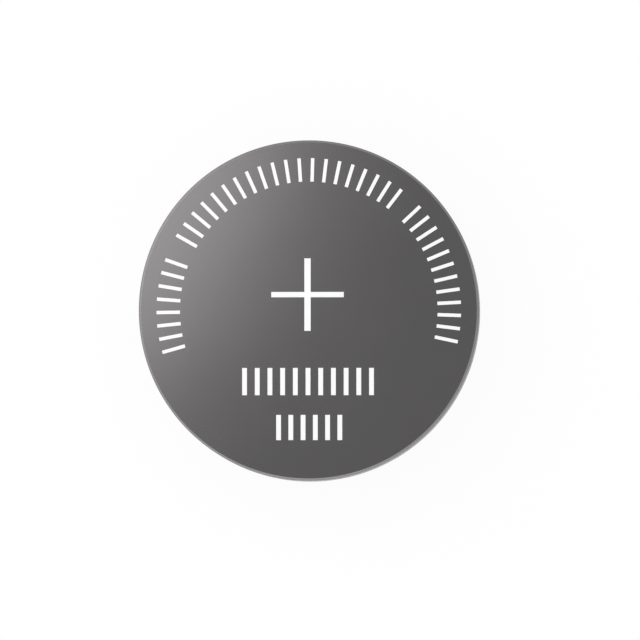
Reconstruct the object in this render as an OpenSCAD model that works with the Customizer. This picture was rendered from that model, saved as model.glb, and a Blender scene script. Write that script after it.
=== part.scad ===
/* [Cell] */
// Outside diameter of the cell
cell_d = 10; // [9:0.1:12.5]
// Height of the cell, from the contact face of the cap to the face of the can
cell_h = 2.5; // [2.3:0.05:3.2]
// How far the cap stands out below the crimped rim
cap_proud = 0.25; // [0.1:0.05:0.4]

/* [Can] */
// Thickness of the can's sheet
can_t = 0.25; // [0.15:0.01:0.35]
// Outside radius round the edge of the positive face
can_edge_r = 0.05; // [0.04:0.01:0.25]
// Inside radius where the can's floor meets its wall
can_inner_r = 0.1; // [0.05:0.01:0.2]
// Outside radius of the crimped shoulder
crimp_r = 0.8; // [0.65:0.01:0.9]
// Width of the crimped rim, from the cell's side to the mouth of the can
rim_w = 0.95; // [0.9:0.01:1.3]
// Radius that takes off the sharp edge of the mouth
lip_edge_r = 0.06; // [0.02:0.01:0.08]

/* [Gasket] */
// Thickness of the gasket between the can and the cap
gasket_t = 0.2; // [0.12:0.01:0.3]
// Thickness of the gasket's foot, on the floor of the can
foot_t = 0.2; // [0.12:0.01:0.3]
// Width of the gasket's foot, from the can's wall inwards
foot_w = 0.9; // [0.75:0.01:1.2]
// Width of the ring of gasket that shows between the rim and the cap
ring_w = 0.3; // [0.15:0.01:0.45]
// How far that ring lies back from the rim
ring_recess = 0.08; // [0.08:0.01:0.2]
// Radius of the ring's two free edges
ring_edge_r = 0.07; // [0.02:0.01:0.07]

/* [Cap] */
// Thickness of the cap's sheet
cap_t = 0.2; // [0.14:0.01:0.25]
// Outside radius round the edge of the contact face
cap_edge_r = 0.3; // [0.26:0.01:0.32]
// Inside radius of the two bends at the shoulder
cap_bend_r = 0.1; // [0.04:0.01:0.12]
// Length of the leaf that is folded back outside the cap's wall
hem_l = 0.6; // [0.3:0.01:0.7]
// Slit left inside the fold
hem_gap = 0.04; // [0.02:0.01:0.08]

/* [Cell stack] */
// Gap round the discs that lie in the cap and in the gasket's foot
disc_gap = 0.15; // [0.05:0.01:0.3]
// Height of the wave spring as it is pressed in the cell
spring_h = 0.35; // [0.25:0.01:0.45]
// Thickness of the spring's strip
spring_t = 0.12; // [0.08:0.01:0.16]
// Width of the spring's strip
spring_w = 0.95; // [0.6:0.05:1.3]
// Number of waves round the spring
spring_waves = 3; // [3:1:5]
// Step in from the spacer's edge to the spring's edge
spring_inset = 0.25; // [0.1:0.05:0.5]
// Thickness of the steel spacer
spacer_t = 0.3; // [0.2:0.01:0.4]
// Thickness of the anode's collector mesh
anode_mesh_t = 0.08; // [0.05:0.01:0.12]
// Thickness of the anode
anode_t = 0.5; // [0.35:0.01:0.6]
// Thickness of the separator film
separator_t = 0.03; // [0.02:0.01:0.08]
// Gap between the separator's edge and the cap's wall
separator_gap = 0.05; // [0.02:0.01:0.2]
// Thickness of the cathode's collector mesh
cathode_mesh_t = 0.1; // [0.06:0.01:0.15]
// Chamfer on the edges of the pressed electrodes
pellet_chamfer = 0.06; // [0.02:0.01:0.1]
// Step in from an electrode's edge to its mesh's edge
mesh_inset = 0.15; // [0.05:0.01:0.3]
// Distance between the openings of a mesh, from centre to centre
mesh_pitch = 0.6; // [0.55:0.01:0.8]
// Width of the strands between the openings
mesh_strand = 0.18; // [0.1:0.01:0.25]
// Width of the solid border round a mesh
mesh_border = 0.2; // [0.1:0.01:0.4]

/* [Hidden] */
$fn = 128;

// Stations round the spring for each of its waves
WAVE_STEPS = 24;
// Length by which a cutting shape runs past what it cuts
PAST = 0.1;

// Radii and heights of the can and its mouth
cell_r = cell_d / 2;
rim_z = cap_proud;
floor_z = cell_h - can_t;
can_in_r = cell_r - can_t;
mouth_r = cell_r - rim_w;

// The cap's outer faces, from the contact face out to the folded wall
face_r = mouth_r - ring_w;
shoulder_z = rim_z + can_t + gasket_t;
hem_r = can_in_r - gasket_t;
wall_r = hem_r - cap_t - hem_gap;
wall_bend_r = cap_t + cap_bend_r;
hem_top_z = floor_z - foot_t;
fold_r = cap_t + hem_gap / 2;
fold_z = hem_top_z - fold_r;
hem_end_z = fold_z - hem_l;

// The discs inside: those in the cap, those in the gasket's foot and the film between them
foot_in_r = can_in_r - foot_w;
cap_disc_r = face_r - cap_t - disc_gap;
cathode_r = foot_in_r - disc_gap;
separator_r = wall_r - cap_t - separator_gap;
spring_r = cap_disc_r - spring_inset;

// Heights in the stack, upwards from the inside of the contact face
spacer_z = cap_t + spring_h;
anode_mesh_z = spacer_z + spacer_t;
anode_z = anode_mesh_z + anode_mesh_t;
separator_z = anode_z + anode_t;
cathode_z = separator_z + separator_t;
cathode_mesh_z = floor_z - cathode_mesh_t;

// Quarter of a disc, where x and y are positive
module quarter(r) {
    intersection() {
        circle(r);
        square(2 * r);
    }
}

// Quarter turn of a bent sheet, about the origin
module bend(inner_r, t) {
    difference() {
        quarter(inner_r + t);
        circle(inner_r);
    }
}

// What a rounding of radius r leaves outside it, in the corner at the origin
module corner_waste(r) {
    difference() {
        translate([-PAST, -PAST]) square(r + PAST);
        translate([r, r]) circle(r);
        translate([-PAST, r]) square([PAST, PAST]);
    }
}

// Filled half-section of the can, taken in by inset all round, with its two corner radii
module can_outline(inset, top_r, bottom_r) {
    r = cell_r - inset;
    low = rim_z + inset;
    high = cell_h - inset;
    translate([0, low]) square([r - bottom_r, bottom_r]);
    translate([r - bottom_r, low + bottom_r]) rotate(-90) quarter(bottom_r);
    translate([0, low + bottom_r]) square([r, high - top_r - low - bottom_r]);
    translate([0, high - top_r]) square([r - top_r, top_r]);
    translate([r - top_r, high - top_r]) quarter(top_r);
}

// The space inside the can, which the gasket fills round its wall
module can_cavity() {
    can_outline(can_t, can_inner_r, crimp_r - can_t);
}

// Ring of gasket that shows in the mouth, between the rim and the cap
module gasket_ring() {
    low = rim_z + ring_recess;
    high = rim_z + can_t;
    translate([face_r, low + ring_edge_r]) square([ring_w, high - low - ring_edge_r]);
    translate([face_r + ring_edge_r, low]) square([ring_w - 2 * ring_edge_r, ring_edge_r]);
    translate([face_r + ring_edge_r, low + ring_edge_r]) rotate(180) quarter(ring_edge_r);
    translate([mouth_r - ring_edge_r, low + ring_edge_r]) rotate(-90) quarter(ring_edge_r);
}

// Everything from the axis out to the cap's outer faces, so that the gasket follows them
module cap_envelope() {
    square([face_r, shoulder_z]);
    difference() {
        translate([face_r, shoulder_z - cap_bend_r]) square(cap_bend_r);
        translate([face_r + cap_bend_r, shoulder_z - cap_bend_r]) circle(cap_bend_r);
    }
    translate([0, shoulder_z]) square([wall_r - wall_bend_r, wall_bend_r]);
    translate([wall_r - wall_bend_r, shoulder_z + wall_bend_r]) rotate(-90) quarter(wall_bend_r);
    translate([0, shoulder_z + wall_bend_r]) square([wall_r, hem_top_z - shoulder_z - wall_bend_r]);
    translate([0, hem_end_z]) square([hem_r, hem_l]);
    translate([0, fold_z]) square([wall_r + hem_gap / 2, fold_r]);
    translate([wall_r + hem_gap / 2, fold_z]) quarter(fold_r);
}

// Drawn cup: flat positive face, straight wall and a rim crimped in over the gasket
module positive_can() {
    color("dimgray")
    rotate_extrude()
    difference() {
        can_outline(0, can_edge_r, crimp_r);
        can_cavity();
        square([mouth_r, rim_z + can_t + PAST]);
        translate([mouth_r, rim_z]) corner_waste(lip_edge_r);
    }
}

// Moulded ring, pressed to fill the room between the can and the cap
module sealing_gasket() {
    color("gainsboro")
    rotate_extrude()
    difference() {
        union() {
            can_cavity();
            gasket_ring();
        }
        cap_envelope();
        translate([0, hem_top_z]) square([foot_in_r, foot_t + PAST]);
    }
}

// Drawn cap: contact face, riser, shoulder and a wall that is folded back on itself
module negative_cap() {
    riser_h = shoulder_z - cap_bend_r - cap_edge_r;
    shoulder_in_r = face_r + cap_bend_r;
    wall_z = shoulder_z + wall_bend_r;
    color("silver")
    rotate_extrude()
    union() {
        square([face_r - cap_edge_r, cap_t]);
        translate([face_r - cap_edge_r, cap_edge_r]) rotate(-90) bend(cap_edge_r - cap_t, cap_t);
        translate([face_r - cap_t, cap_edge_r]) square([cap_t, riser_h]);
        translate([shoulder_in_r, shoulder_z - cap_bend_r]) rotate(90) bend(cap_bend_r, cap_t);
        translate([shoulder_in_r, shoulder_z]) square([wall_r - wall_bend_r - shoulder_in_r, cap_t]);
        translate([wall_r - wall_bend_r, wall_z]) rotate(-90) bend(cap_bend_r, cap_t);
        translate([wall_r - cap_t, wall_z]) square([cap_t, fold_z - wall_z]);
        translate([wall_r + hem_gap / 2, fold_z]) rotate(90) bend(hem_gap / 2, cap_t);
        translate([wall_r + hem_gap / 2, fold_z]) bend(hem_gap / 2, cap_t);
        translate([hem_r - cap_t, hem_end_z]) square([cap_t, hem_l]);
    }
}

// Points of the spring's strip at one station: inner and outer edge below, then above
function spring_station(angle) =
    let (rise = (spring_h - spring_t) / 2, low = cap_t + rise * (1 + cos(spring_waves * angle)))
    [for (z = [low, low + spring_t], r = [spring_r - spring_w, spring_r])
        [r * cos(angle), r * sin(angle), z]];

// Flat ring pressed into waves, between the contact face and the spacer
module wave_spring() {
    steps = WAVE_STEPS * spring_waves;
    // The strip's four sides, each as the pair of station points that bound it
    sides = [[0, 1], [1, 3], [3, 2], [2, 0]];
    points = [for (i = [0 : steps - 1]) each spring_station(360 * i / steps)];
    faces = [for (i = [0 : steps - 1], s = sides)
        let (here = 4 * i, there = 4 * ((i + 1) % steps))
        each [
            [here + s[0], here + s[1], there + s[1]],
            [here + s[0], there + s[1], there + s[0]]
        ]];
    color("lightsteelblue") polyhedron(points, faces);
}

module spacer_disc() {
    color("lightgray")
    translate([0, 0, spacer_z]) cylinder(r = cap_disc_r, h = spacer_t);
}

// Disc of pressed powder with chamfered edges
module pellet(r, t) {
    c = pellet_chamfer;
    rotate_extrude()
    polygon([[0, 0], [r - c, 0], [r, c], [r, t - c], [r - c, t], [0, t]]);
}

// Disc of collector mesh, with the square openings that lie wholly inside its border
module collector_mesh(r, t) {
    opening = mesh_pitch - mesh_strand;
    reach = floor(r / mesh_pitch);
    linear_extrude(t)
    difference() {
        circle(r);
        for (i = [-reach : reach], j = [-reach : reach])
            if (norm([abs(i) * mesh_pitch + opening / 2, abs(j) * mesh_pitch + opening / 2]) < r - mesh_border)
                translate([i, j] * mesh_pitch) square(opening, center = true);
    }
}

module anode_mesh() {
    color("peru")
    translate([0, 0, anode_mesh_z]) collector_mesh(cap_disc_r - mesh_inset, anode_mesh_t);
}

module anode_disc() {
    color("darkslategray")
    translate([0, 0, anode_z]) pellet(cap_disc_r, anode_t);
}

module separator() {
    color("white")
    translate([0, 0, separator_z]) cylinder(r = separator_r, h = separator_t);
}

// The cathode fills the height that the rest of the stack leaves
module cathode_disc() {
    color("black")
    translate([0, 0, cathode_z]) pellet(cathode_r, cathode_mesh_z - cathode_z);
}

module cathode_mesh() {
    color("lightgray")
    translate([0, 0, cathode_mesh_z]) collector_mesh(cathode_r - mesh_inset, cathode_mesh_t);
}

positive_can();
sealing_gasket();
negative_cap();
wave_spring();
spacer_disc();
anode_mesh();
anode_disc();
separator();
cathode_disc();
cathode_mesh();
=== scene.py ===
# %% [markdown]
# # A lithium coin cell, 10 mm across
# The cell is a shallow steel can, closed by a smaller steel cap with a plastic gasket between them. The packed
# model brings ten solids, each in its true place. This file dresses them: it draws the three shells that show
# again with finer curves, prints the marks on the positive face, gives every piece its finish, and sets up the
# light and the camera. Everything is in metres, with the middle of the negative contact face at the origin.

# %% Load the packed model
from math import atan2, cos, degrees, pi, radians, sin

import bmesh
import bpy
from mathutils import Matrix, Vector


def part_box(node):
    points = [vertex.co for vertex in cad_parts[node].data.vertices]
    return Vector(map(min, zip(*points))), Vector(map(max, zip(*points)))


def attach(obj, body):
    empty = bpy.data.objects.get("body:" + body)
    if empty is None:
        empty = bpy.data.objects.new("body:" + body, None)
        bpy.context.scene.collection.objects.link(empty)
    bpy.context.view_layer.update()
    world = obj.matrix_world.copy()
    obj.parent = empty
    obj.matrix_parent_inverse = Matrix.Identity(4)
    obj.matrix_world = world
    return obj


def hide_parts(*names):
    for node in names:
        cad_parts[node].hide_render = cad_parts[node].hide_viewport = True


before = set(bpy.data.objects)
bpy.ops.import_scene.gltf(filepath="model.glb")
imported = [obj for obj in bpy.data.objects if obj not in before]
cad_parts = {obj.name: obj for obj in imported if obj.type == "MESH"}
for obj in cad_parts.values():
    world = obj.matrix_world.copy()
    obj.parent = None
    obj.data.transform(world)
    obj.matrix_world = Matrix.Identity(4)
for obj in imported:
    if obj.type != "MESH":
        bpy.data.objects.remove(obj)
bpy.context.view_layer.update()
MM = 0.001
for name in sorted(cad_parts):
    low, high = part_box(name)
    print(f"{name}: z from {low.z / MM:.2f} to {high.z / MM:.2f} mm, {(high.x - low.x) / MM:.2f} mm across")

# %% [markdown]
# ## Sizes
# The shells are drawn from the same sizes as the solids, in millimetres. Radii run from the cell's axis, and
# heights from the contact face of the cap. They are written once here, so that each outline below can be read
# as a walk round the metal. A name ends in T for a thickness, in R for a radius and in Z for a height.

# %% The sizes of the three shells
CELL_R, CELL_H = 5.0, 2.5
CAN_T, CAN_EDGE, CAN_EDGE_R, CAN_INNER_R = 0.25, 0.06, 0.01, 0.1   # the edge is a slope with softened ends
RIM_Z, MOUTH_R, CRIMP_R, LIP_R = 0.25, 4.05, 0.8, 0.06
RING_Z, RING_EDGE_R, FOOT_IN_R = 0.33, 0.07, 3.85
FACE_R, CAP_T, CAP_EDGE_R, BEND_R = 3.75, 0.2, 0.3, 0.1
SHOULDER_Z, WALL_R, HEM_R = 0.7, 4.31, 4.55
HEM_END_Z, HEM_TOP_Z, HEM_GAP, FOLD_R = 1.23, 2.05, 0.04, 0.22
CAN_IN_R, FLOOR_Z = CELL_R - CAN_T, CELL_H - CAN_T
TURN_STEPS = 256

# %% [markdown]
# ## Turning an outline
# All three shells are round, so each is one half section, turned about the axis. The section could be cut from
# a cylinder with insets and bevels, but then the inner faces are hard to reach. Drawing the outline corner by
# corner and spinning it gives both sides of the sheet at once. A corner is rounded with a vertex bevel, which
# makes a true arc where two straight lines meet at a right angle, and softens any other corner.

# %% Helpers that draw, round and spin
ARC_STEPS, FEWEST_STEPS = 28, 4   # segments of an arc with a radius of 1 mm, and of the smallest arcs
SAME_PLACE, MERGE = 1e-6, 1e-7    # distances in metres
SMOOTH_UP_TO = radians(35)


def deselect_all():
    """Leaves nothing selected, because an operator acts on all that is."""
    if bpy.context.object and bpy.context.object.mode != "OBJECT":
        bpy.ops.object.mode_set(mode="OBJECT")
    bpy.ops.object.select_all(action="DESELECT")


def pick(piece, wanted):
    """In edit mode, selects the vertices whose place passes the test, and tells how many."""
    bpy.ops.mesh.select_mode(type="VERT")
    bpy.ops.mesh.select_all(action="DESELECT")
    mesh = bmesh.from_edit_mesh(piece.data)
    found = 0
    for vertex in mesh.verts:
        if wanted(vertex.co):
            vertex.select_set(True)
            found += 1
    mesh.select_flush_mode()
    bmesh.update_edit_mesh(piece.data)
    return found


def draw_outline(name, corners, closed):
    """A line of edges in the plane y = 0 through corners of (radius, height, rounding), in millimetres."""
    deselect_all()
    bpy.ops.mesh.primitive_plane_add(size=MM)
    piece = bpy.context.object
    piece.name = piece.data.name = name
    bpy.ops.object.mode_set(mode="EDIT")
    bpy.ops.mesh.merge(type="CENTER")
    places = [Vector((r * MM, 0, z * MM)) for r, z, rounding in corners]
    bpy.ops.transform.translate(value=places[0])
    for here, there in zip(places, places[1:] + places[:1] * closed):
        bpy.ops.mesh.extrude_region_move(TRANSFORM_OT_translate={"value": there - here})
    bpy.ops.mesh.select_all(action="SELECT")
    bpy.ops.mesh.remove_doubles(threshold=MERGE)
    return piece


def round_corners(piece, corners):
    """Turns each corner that has a rounding into an arc of that radius."""
    for r, z, rounding in corners:
        if rounding:
            here = Vector((r * MM, 0, z * MM))
            pick(piece, lambda place: (place - here).length < SAME_PLACE)
            steps = max(FEWEST_STEPS, round(ARC_STEPS * rounding ** 0.5))
            bpy.ops.mesh.bevel(offset=rounding * MM, segments=steps, affect="VERTICES")


def turned(name, corners, closed):
    """Spins the rounded outline into a closed shell with even, smooth faces."""
    piece = draw_outline(name, corners, closed)
    round_corners(piece, corners)
    bpy.ops.mesh.select_all(action="SELECT")
    bpy.ops.mesh.spin(steps=TURN_STEPS, angle=2 * pi, center=(0, 0, 0), axis=(0, 0, 1))
    bpy.ops.mesh.select_all(action="SELECT")
    bpy.ops.mesh.remove_doubles(threshold=MERGE)
    bpy.ops.mesh.normals_make_consistent(inside=False)
    bpy.ops.object.mode_set(mode="OBJECT")
    finish_mesh(piece)
    return piece


def finish_mesh(piece):
    """Smooths the arcs, and lets the flats keep their own normals where they meet an arc."""
    bpy.ops.object.shade_smooth_by_angle(angle=SMOOTH_UP_TO)
    flats = piece.modifiers.new("flats", "WEIGHTED_NORMAL")
    flats.keep_sharp = True
    bpy.ops.object.modifier_apply(modifier=flats.name)
    size = [round(side / MM, 3) for side in piece.dimensions]
    print(f"{piece.name}: {len(piece.data.polygons)} faces, {size} mm")

# %% [markdown]
# ## The can
# The can is the positive pole: one steel cup, drawn from sheet, whose flat bottom is the face that carries the
# marks. Its open edge is curled in over the gasket in the last step of making the cell. The outline goes out
# along the face, over a narrow slope at its edge, down the wall, round the crimp to the lip, and back on the
# inside. The slope mirrors the sides of the room, so it shows as an even ring of light round the dark face.

# %% Turn the can
can = turned("can_shell", [
    (0, CELL_H, 0),
    (CELL_R - CAN_EDGE, CELL_H, CAN_EDGE_R),
    (CELL_R, CELL_H - CAN_EDGE, CAN_EDGE_R),
    (CELL_R, RIM_Z, CRIMP_R),
    (MOUTH_R, RIM_Z, LIP_R),
    (MOUTH_R, RIM_Z + CAN_T, 0),
    (CAN_IN_R, RIM_Z + CAN_T, CRIMP_R - CAN_T),
    (CAN_IN_R, FLOOR_Z, CAN_INNER_R),
    (0, FLOOR_Z, 0),
], closed=False)

# %% [markdown]
# ## The gasket
# A ring of moulded plastic keeps the can and the cap apart and seals the cell. Pressed by the crimp, it takes
# the shape of the room between them: a foot under the cap's fold, a wall, and a ring that shows in the can's
# mouth. It never reaches the axis, so its outline is closed.

# %% Turn the gasket
gasket = turned("gasket_ring", [
    (FOOT_IN_R, FLOOR_Z, 0),
    (CAN_IN_R, FLOOR_Z, CAN_INNER_R),
    (CAN_IN_R, RIM_Z + CAN_T, CRIMP_R - CAN_T),
    (MOUTH_R, RIM_Z + CAN_T, 0),
    (MOUTH_R, RING_Z, RING_EDGE_R),
    (FACE_R, RING_Z, RING_EDGE_R),
    (FACE_R, SHOULDER_Z, BEND_R),
    (WALL_R, SHOULDER_Z, CAP_T + BEND_R),
    (WALL_R, HEM_END_Z, 0),
    (HEM_R, HEM_END_Z, 0),
    (HEM_R, HEM_TOP_Z, FOLD_R),
    (FOOT_IN_R, HEM_TOP_Z, 0),
], closed=True)

# %% [markdown]
# ## The cap
# The cap is the negative pole. Its raised face is the contact, and its edge is folded back on itself, so that
# the gasket presses on a round fold and not on a cut edge. The outline follows the sheet on the outside, round
# the slit in the fold, and back on the inside.

# %% Turn the cap
FOLD_Z = HEM_TOP_Z - FOLD_R
SLIT_R = HEM_GAP / 2 - 0.001   # a hair under half of the gap, so that the two arcs at its end stay apart
cap = turned("cap_shell", [
    (0, 0, 0),
    (FACE_R, 0, CAP_EDGE_R),
    (FACE_R, SHOULDER_Z, BEND_R),
    (WALL_R, SHOULDER_Z, CAP_T + BEND_R),
    (WALL_R, FOLD_Z + HEM_GAP / 2, SLIT_R),
    (WALL_R + HEM_GAP, FOLD_Z + HEM_GAP / 2, SLIT_R),
    (WALL_R + HEM_GAP, HEM_END_Z, 0),
    (HEM_R, HEM_END_Z, 0),
    (HEM_R, HEM_TOP_Z, FOLD_R),
    (WALL_R - CAP_T, HEM_TOP_Z, FOLD_R),
    (WALL_R - CAP_T, SHOULDER_Z + CAP_T, BEND_R),
    (FACE_R - CAP_T, SHOULDER_Z + CAP_T, CAP_T + BEND_R),
    (FACE_R - CAP_T, CAP_T, CAP_EDGE_R - CAP_T),
    (0, CAP_T, 0),
], closed=False)

# %% [markdown]
# ## The plus sign
# The mark of the positive pole is printed in white ink. A print could be a colour painted by the material, but
# ink has a thickness and a clean edge that catches light, so it is modelled: one small block in the middle, and
# an arm pulled out of each of its sides. Its upright is a little wider than its bar.

# %% Print the plus sign
INK_T, SLACK = 0.006, 0.0001
PLUS_X, PLUS_Y = -0.037, 0.462
UPRIGHT_W, BAR_W, PLUS_L = 0.184, 0.155, 2.13


def ink_block(name, width, depth, x=0.0, y=0.0):
    """A flat block of ink that stands on the face, left in edit mode."""
    deselect_all()
    bpy.ops.mesh.primitive_cube_add(size=1, location=(x * MM, y * MM, (CELL_H + INK_T / 2) * MM),
                                    scale=(width * MM, depth * MM, INK_T * MM))
    piece = bpy.context.object
    piece.name = piece.data.name = name
    bpy.ops.object.transform_apply(location=True, rotation=True, scale=True)
    bpy.ops.object.mode_set(mode="EDIT")
    return piece


def pull_side(piece, way, block_x, block_y, by):
    """Extrudes the side of the middle block that faces a way, by a length in millimetres."""
    def on_side(place):
        x, y = place.x / MM - PLUS_X, place.y / MM - PLUS_Y
        beside = abs(x) < block_x / 2 + SLACK and abs(y) < block_y / 2 + SLACK
        return beside and x * way[0] + y * way[1] > SLACK

    pick(piece, on_side)
    bpy.ops.mesh.extrude_region_move(TRANSFORM_OT_translate={"value": Vector((*way, 0)) * by * MM})


plus = ink_block("plus_sign", UPRIGHT_W, BAR_W, PLUS_X, PLUS_Y)
for way, across in (((1, 0), UPRIGHT_W), ((-1, 0), UPRIGHT_W), ((0, 1), BAR_W), ((0, -1), BAR_W)):
    pull_side(plus, way, UPRIGHT_W, BAR_W, (PLUS_L - across) / 2)
bpy.ops.object.mode_set(mode="OBJECT")
finish_mesh(plus)

# %% [markdown]
# ## The plain marks
# The rest of the print is plain strokes of the same white ink: three runs of them on an arc near the edge, and
# two straight rows below the plus sign. One stroke is made, and copied along its run in edit mode. Lengths are
# in millimetres and angles in degrees.

# %% Print the strokes
ARC_R, ARC_STROKE_H, ARC_STROKE_W, ROW_STROKE_W = 4.13, 0.69, 0.1, 0.14
ARCS = (  # name, first and last angle from +X, strokes
    ("arc_strokes_left", 196.0, 160.5, 8),
    ("arc_strokes_middle", 150.3, 52.5, 20),
    ("arc_strokes_right", 43.0, -12.0, 12))
ROWS = (  # name, height of a stroke, x and y of the first, strokes, step along x
    ("row_strokes_upper", 0.8, -1.887, -2.093, 11, 0.373),
    ("row_strokes_lower", 0.74, -0.887, -3.443, 6, 0.36))


def stroke_run(name, height, width, x, y, count, turn=0.0, shift=0.0):
    """Copies of one stroke, each turned about the axis by turn degrees or moved along x by shift."""
    run = ink_block(name, width, height, x, y)
    for copy in range(count - 1):
        bpy.ops.mesh.duplicate()
        if turn:
            bpy.ops.transform.rotate(value=-radians(turn), orient_axis="Z", center_override=(0, 0, 0))
        if shift:
            bpy.ops.transform.translate(value=(shift * MM, 0, 0))
    return run


def arc_run(name, first, last, count):
    """A run of strokes on the arc, from one angle to another."""
    run = stroke_run(name, ARC_STROKE_H, ARC_STROKE_W, 0, ARC_R, count, turn=(last - first) / (count - 1))
    bpy.ops.mesh.select_all(action="SELECT")
    bpy.ops.transform.rotate(value=radians(90 - first), orient_axis="Z", center_override=(0, 0, 0))
    bpy.ops.object.mode_set(mode="OBJECT")
    finish_mesh(run)
    places = [degrees(atan2(v.co.y, v.co.x)) for v in run.data.vertices]
    print(f"  angles {min(places):.1f} to {max(places):.1f}")
    return run


strokes = [arc_run(*arc) for arc in ARCS]
for name, height, x, y, count, shift in ROWS:
    strokes.append(stroke_run(name, height, ROW_STROKE_W, x, y, count, shift=shift))
    bpy.ops.object.mode_set(mode="OBJECT")
    finish_mesh(strokes[-1])

# %% [markdown]
# ## Writing materials as sums
# A finish is a small calculation over the surface. Written node by node it is hard to follow, so one class
# wraps a socket and lets it take part in sums, and one method makes every other node: its settings are set
# first, and then the values or links of its sockets.

# %% A socket that adds up, and a finish that makes nodes
FLAT_MM = (1 / MM, 1 / MM, 0.0)
WHITE = (1.0, 1.0, 1.0, 1.0)


class Wire:
    """An output socket that can be added, multiplied and so on."""

    def __init__(self, finish, socket):
        self.finish = finish
        self.socket = socket

    def math(self, operation, first, second):
        return self.finish.node("ShaderNodeMath", {"operation": operation}, {0: first, 1: second})

    def __add__(self, other):
        return self.math("ADD", self, other)

    def __radd__(self, other):
        return self.math("ADD", other, self)

    def __sub__(self, other):
        return self.math("SUBTRACT", self, other)

    def __rsub__(self, other):
        return self.math("SUBTRACT", other, self)

    def __mul__(self, other):
        return self.math("MULTIPLY", self, other)

    def __rmul__(self, other):
        return self.math("MULTIPLY", other, self)


class Finish:
    """The node tree of one material, world or floor."""

    def __init__(self, owner):
        owner.use_nodes = True
        self.owner = owner
        self.tree = owner.node_tree
        self.tree.nodes.clear()

    def node(self, kind, settings=None, sockets=None, out=0):
        made = self.tree.nodes.new(kind)
        for key, value in (settings or {}).items():
            setattr(made, key, value)
        for key, value in (sockets or {}).items():
            if isinstance(value, Wire):
                self.tree.links.new(value.socket, made.inputs[key])
            else:
                made.inputs[key].default_value = value
        return Wire(self, made.outputs[out]) if made.outputs else None

    def place(self, scale):
        """The piece's own coordinates, with a scale along x, y and z."""
        here = self.node("ShaderNodeTexCoord", out="Object")
        return self.node("ShaderNodeMapping", None, {"Vector": here, "Scale": scale})

    def vectors(self, operation, first, second=None, out="Vector"):
        """Sums of vectors, which plain sums would turn into one number."""
        return self.node("ShaderNodeVectorMath", {"operation": operation},
                         {0: first} if second is None else {0: first, 1: second}, out=out)

    def noise(self, place, detail=2.0):
        """Noise from 0 to 1, one patch to each unit of place."""
        return self.node("ShaderNodeTexNoise", None, {"Vector": place, "Scale": 1.0, "Detail": detail})

    def drawn(self, round_it, along):
        """Coordinates for streaks that run away from the axis: patches round the piece, and per metre of z."""
        outwards = self.vectors("NORMALIZE", self.place((1.0, 1.0, 0.0)))
        ring = self.vectors("MULTIPLY", outwards, (round_it / (2 * pi),) * 3)
        return self.vectors("ADD", ring, self.place((0.0, 0.0, along)))

    def beyond(self, radius, soft):
        """0 inside a radius round the axis and 1 outside it, in millimetres, over a soft step."""
        away = self.vectors("LENGTH", self.place(FLAT_MM), out="Value")
        return self.step(away, radius - soft, radius + soft)

    def step(self, value, low, high):
        """A smooth step from 0 to 1, as the value goes from low to high."""
        return self.node("ShaderNodeMapRange", {"interpolation_type": "SMOOTHSTEP"},
                         {"Value": value, "From Min": low, "From Max": high})

    def blend(self, amount, first, second):
        """The colour between two colours."""
        return self.node("ShaderNodeMix", {"data_type": "RGBA"},
                         {0: amount, 6: (*first, 1.0), 7: (*second, 1.0)}, out=2)

    def bump(self, height, depth):
        """A normal from a height map, whose full height is depth in metres."""
        return self.node("ShaderNodeBump", None, {"Height": height, "Distance": depth, "Strength": 1.0})

    def surface(self, **sockets):
        """The shader itself, joined to the output."""
        shader = self.node("ShaderNodeBsdfPrincipled", None,
                           {key.replace("_", " "): value for key, value in sockets.items()})
        self.node("ShaderNodeOutputMaterial", None, {"Surface": shader})
        return self.owner

# %% [markdown]
# ## Metal, ink and plastic
# The can and the cap are nickel-plated steel with a satin skin: the colour hardly changes, but the gloss does.
# The can's colour is set at about half the cap's, which is painted shade: it darkens the flat face beyond what
# its reflection of the dim room gives.
# Drawing the can left its face smooth, and its wall covered with fine streaks from the face to the mouth. They
# are noise in coordinates that have lost their distance from the axis, so each runs straight down the wall. The
# cap keeps the grain of the rolled sheet, which is noise stretched along x.

# %% Finishes of the shells and the print
CLOUDS = (420.0, 420.0, 420.0)               # patches per metre along x, y and z
ROLLED, EVEN = (400.0, 12000.0, 12000.0), (4000.0, 4000.0, 4000.0)
STREAKS_ROUND, STREAKS_ALONG = 520.0, 400.0  # patches round the can, and per metre of its height
FACE_END_R, FACE_END_SOFT = CELL_R - 0.12, 0.07
CLOUD_SWING, GRAIN_SWING, STREAK_SWING, TOOTH_SWING = 0.02, 0.06, 0.1, 0.1


def metal(name, dark, light, gloss, grain, depth):
    """Bare or plated metal. gloss is the middle roughness, and grain is in patches per metre on each axis."""
    finish = Finish(bpy.data.materials.new(name + "_finish"))
    fine = finish.noise(finish.place(grain), 3.0)
    cloud = finish.noise(finish.place(CLOUDS))
    return finish.surface(Base_Color=finish.blend(cloud, dark, light), Metallic=1.0,
                          Roughness=gloss + (fine - 0.5) * GRAIN_SWING + (cloud - 0.5) * CLOUD_SWING,
                          Normal=finish.bump(fine, depth))


def drawn_steel(name, dark, light, gloss, depth):
    """Plated sheet, drawn into a cup: smooth on the face, and streaked from there to the mouth."""
    finish = Finish(bpy.data.materials.new(name + "_finish"))
    streaks = finish.noise(finish.drawn(STREAKS_ROUND, STREAKS_ALONG), 3.0)
    cloud = finish.noise(finish.place(CLOUDS))
    wall = finish.beyond(FACE_END_R, FACE_END_SOFT)
    rough = gloss + (streaks - 0.5) * wall * STREAK_SWING + (cloud - 0.5) * CLOUD_SWING
    return finish.surface(Base_Color=finish.blend(cloud, dark, light), Metallic=1.0, Roughness=rough,
                          Normal=finish.bump(streaks * wall, depth))


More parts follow.
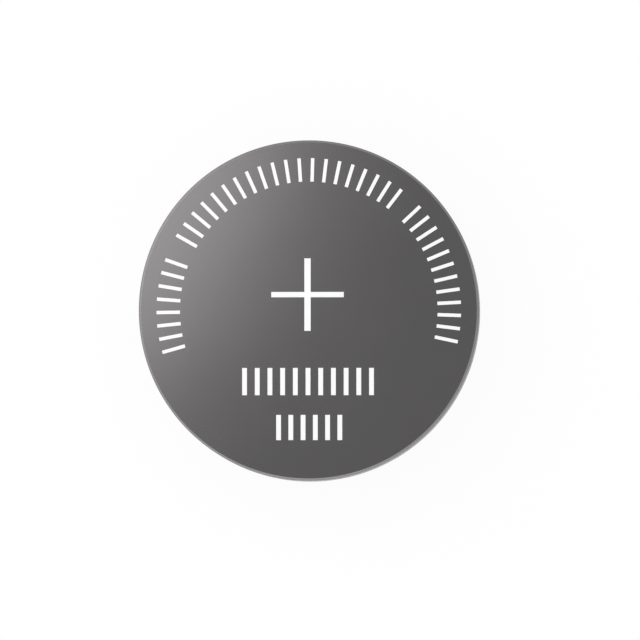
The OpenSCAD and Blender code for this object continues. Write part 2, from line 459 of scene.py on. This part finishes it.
def matte(name, dark, light, gloss, grain, depth, **more):
    """Plastic, ink, film or pressed powder: two near colours, a soft shine and a fine tooth."""
    finish = Finish(bpy.data.materials.new(name + "_finish"))
    tooth = finish.noise(finish.place((grain, grain, grain)), 4.0)
    return finish.surface(Base_Color=finish.blend(tooth, dark, light),
                          Roughness=gloss + (tooth - 0.5) * TOOTH_SWING,
                          Normal=finish.bump(tooth, depth), **more)


# The can's steel colour is about half the cap's: painted shade that darkens its flat face, on top of the dim
# room it mirrors.
can_steel = drawn_steel("can_steel", (0.203, 0.196, 0.199), (0.217, 0.21, 0.213), 0.27, 6e-7)
cap_steel = metal("cap_steel", (0.41, 0.4, 0.385), (0.44, 0.43, 0.415), 0.3, ROLLED, 3e-7)
white_ink = matte("white_ink", (0.89, 0.89, 0.892), (0.915, 0.915, 0.915), 0.45, 6000.0, 3e-7)
gasket_plastic = matte("gasket_plastic", (0.62, 0.61, 0.57), (0.68, 0.67, 0.63), 0.42, 3000.0, 1e-6,
                       Subsurface_Weight=0.3, Subsurface_Radius=(1.0, 0.9, 0.7), Subsurface_Scale=0.0003)

# %% [markdown]
# ## Finishes of the inner pieces
# Nothing inside shows in the closed cell, but whoever opens the model finds the pieces with the materials that
# such a cell has: bright spring steel, copper and aluminium mesh, pressed powders and a white film.

# %% Finish the pieces inside
inner_finishes = {
    "wave_spring": metal("spring_steel", (0.42, 0.42, 0.42), (0.48, 0.48, 0.48), 0.25, EVEN, 2e-7),
    "spacer_disc": metal("spacer_steel", (0.48, 0.48, 0.47), (0.53, 0.53, 0.52), 0.3, ROLLED, 3e-7),
    "anode_mesh": metal("mesh_copper", (0.58, 0.25, 0.13), (0.66, 0.3, 0.16), 0.35, EVEN, 5e-7),
    "cathode_mesh": metal("mesh_aluminium", (0.57, 0.57, 0.58), (0.63, 0.63, 0.64), 0.4, EVEN, 5e-7),
    "anode_disc": matte("anode_graphite", (0.02, 0.02, 0.022), (0.045, 0.045, 0.05), 0.6, 9000.0, 4e-6),
    "cathode_disc": matte("cathode_oxide", (0.01, 0.01, 0.012), (0.024, 0.024, 0.026), 0.8, 7000.0, 6e-6),
    "separator": matte("separator_film", (0.76, 0.76, 0.76), (0.84, 0.84, 0.84), 0.7, 12000.0, 1e-6),
}
for name, finish in inner_finishes.items():
    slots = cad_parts[name].data.materials
    slots.clear()
    slots.append(finish)
    print(f"{name} wears {finish.name}")

# %% [markdown]
# ## Dressing the cell
# Each shell stands for the solid of the same form, and takes its place in the cell's one body. The print rides
# with it and stands for nothing, because it is only a film on the face.

# %% Put the pieces on the cell
def dress(piece, finish):
    piece.data.materials.clear()
    piece.data.materials.append(finish)
    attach(piece, "root")


dress(can, can_steel)
dress(gasket, gasket_plastic)
dress(cap, cap_steel)
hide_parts("positive_can")
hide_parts("sealing_gasket")
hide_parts("negative_cap")
for print_piece in [plus, *strokes]:
    dress(print_piece, white_ink)
print(f"{len([can, gasket, cap, plus, *strokes])} pieces ride on the cell")

# %% [markdown]
# ## The floor and the light
# The cell lies on its cap on a white floor, which looks nearly white but still darkens where the cell keeps
# light off it. In the metal the floor glows under the cap, so that the contact face is bright from below, and
# further out most of the glow gives way to the lit paper with the cell's soft shadow. The room is white at the
# sides and dim overhead, as it is when a camera looks straight down into a light tent, so the flat face looks
# dark, and the can's steel colour is painted darker as well, which is painted shade on that face. The floor and
# the low walls have a brighter side, and the walls glow a little beside the lamp. That gives the can's wall its
# soft bands, and the ring round the face its lighter and darker parts.

# %% Lay the floor
FLOOR_SIZE, FLOOR_DROP, PAPER = 0.8, 0.00002, (0.95, 0.95, 0.95, 1.0)
GLOW_SEEN, GLOW_FAR, GLOW_EDGE_SOFT = 0.93, 0.25, 0.2   # shares of glow, and the softness of its edge in mm
LIT_WAY, LIT_REACH = (-0.82, -0.57, 0.0), 20.0
DIM_GLOW, BRIGHT_GLOW = (0.74, 0.74, 0.74), (1.26, 1.26, 1.26)
deselect_all()
bpy.ops.mesh.primitive_plane_add(size=FLOOR_SIZE, location=(0, 0, -FLOOR_DROP))
floor = bpy.context.object
floor.name = "floor"
paper = Finish(bpy.data.materials.new("floor_paper"))
rays = {ray: paper.node("ShaderNodeLightPath", out=f"Is {ray} Ray")
        for ray in ("Camera", "Glossy", "Transmission")}
matt = paper.node("ShaderNodeBsdfDiffuse", None, {"Color": PAPER})
lit_side = paper.vectors("DOT_PRODUCT", paper.place(FLAT_MM), LIT_WAY, out="Value")
shade = 0.5 + rays["Glossy"] * (paper.step(lit_side, -LIT_REACH, LIT_REACH) - 0.5)
glow_colour = paper.blend(shade, DIM_GLOW, BRIGHT_GLOW)
glow = paper.node("ShaderNodeEmission", None, {"Color": glow_colour, "Strength": 1.0})
mirrored = 1 - paper.beyond(MOUTH_R, GLOW_EDGE_SOFT) * (1 - GLOW_FAR)
share = rays["Camera"] * GLOW_SEEN + (rays["Glossy"] + rays["Transmission"]) * mirrored
mixed = paper.node("ShaderNodeMixShader", None, {0: share, 1: matt, 2: glow})
below = paper.node("ShaderNodeNewGeometry", out="Backfacing")
clear = paper.node("ShaderNodeBsdfTransparent")
one_sided = paper.node("ShaderNodeMixShader", None, {0: below, 1: mixed, 2: clear})
paper.node("ShaderNodeOutputMaterial", None, {"Surface": one_sided})
floor.data.materials.append(paper.owner)
floor.visible_diffuse = floor.visible_shadow = False

# %% Light the room
def lamp(name, place, aim, size, level):
    """A soft round lamp. A level of 1 looks as bright as white paper does in this light."""
    light = bpy.data.lights.new(name, "AREA")
    light.shape = "DISK"
    light.size = size * MM
    light.energy = level * pi * pi * (size * MM / 2) ** 2
    holder = bpy.data.objects.new(name, light)
    bpy.context.scene.collection.objects.link(holder)
    holder.location = Vector(place) * MM
    holder.rotation_euler = (Vector(aim) * MM - holder.location).to_track_quat("-Z", "Y").to_euler()
    holder.visible_camera = False
    up = degrees(atan2(place[2], (place[0] ** 2 + place[1] ** 2) ** 0.5))
    print(f"{name}: {light.energy:.4f} W from {up:.0f} degrees up")


lamp("softbox", (-21.1, 12.2, 37.4), (0, 0, CELL_H), 39.7, 1.38)

# Levels of light, and what the bright side and the glow beside the lamp add to the low walls
LOW_WALLS, HIGH_WALLS, CEILING = 1.42, 0.95, 0.38
LOW_SWING, LAMP_GLOW = 0.38, 0.75
BRIGHT_WAY, LAMP_WAY = (-0.64, -0.77, 0.0), (-0.87, 0.5, 0.0)
# Where each begins and is whole: by how much a way points at the glow, and by its height from 0 to 1
BY_THE_LAMP, HIGH_FROM, OVERHEAD_FROM = (0.75, 1.0), (0.1, 0.6), (0.8, 0.95)
world = bpy.data.worlds.new("light_tent")
bpy.context.scene.world = world
tent = Finish(world)
way = tent.node("ShaderNodeTexCoord", out="Generated")
height = tent.node("ShaderNodeSeparateXYZ", None, {0: way}, out="Z")
bright_side = tent.vectors("DOT_PRODUCT", way, BRIGHT_WAY, out="Value")
lamp_side = tent.step(tent.vectors("DOT_PRODUCT", way, LAMP_WAY, out="Value"), *BY_THE_LAMP)
high = tent.step(height, *HIGH_FROM)
overhead = tent.step(height, *OVERHEAD_FROM)
low_walls = LOW_WALLS + bright_side * LOW_SWING + lamp_side * LAMP_GLOW
sides = low_walls * (1 - high) + HIGH_WALLS * high
level = sides * (1 - overhead) + CEILING * overhead
camera_sees = tent.node("ShaderNodeLightPath", out="Is Camera Ray")
room = tent.node("ShaderNodeBackground", None, {"Color": WHITE, "Strength": level})
white = tent.node("ShaderNodeBackground", None, {"Color": WHITE, "Strength": 1.0})
seen_room = tent.node("ShaderNodeMixShader", None, {0: camera_sees, 1: room, 2: white})
tent.node("ShaderNodeOutputWorld", None, {"Surface": seen_room})

# %% [markdown]
# ## The camera
# The photograph looks almost straight down on the positive face, from a little to the lower right, through a
# long lens, so the ring of light is widest there. The camera stands half a metre away, tilted by a few degrees,
# and aims a little off the middle, because the cell isn't quite central in the picture.

# %% Place the camera
TILT, HEADING, DISTANCE = radians(2.6), radians(-45.0), 500.0
PIXELS, CELL_PIXELS = 640, 340.5    # widths of the picture and of the cell in it
AIM = Vector((0.33, -0.285, CELL_H))
stand = AIM + DISTANCE * Vector((sin(TILT) * cos(HEADING), sin(TILT) * sin(HEADING), cos(TILT)))
camera = bpy.data.objects.new("camera", bpy.data.cameras.new("camera"))
bpy.context.scene.collection.objects.link(camera)
bpy.context.scene.camera = camera
camera.location = stand * MM
back = (stand - AIM).normalized()
right = Vector((0, 1, 0)).cross(back).normalized()
camera.rotation_euler = Matrix((right, back.cross(right), back)).transposed().to_euler()
camera.data.sensor_fit = "HORIZONTAL"
camera.data.lens = camera.data.sensor_width * DISTANCE / (2 * CELL_R * PIXELS / CELL_PIXELS)
camera.data.clip_start, camera.data.clip_end = 0.01, 10.0
print(f"lens {camera.data.lens:.0f} mm")

# %% [markdown]
# ## The last steps
# The picture's colours stay as the materials give them, and nothing is left selected at the end.

# %% Finish
bpy.context.scene.view_settings.view_transform = "Standard"
deselect_all()
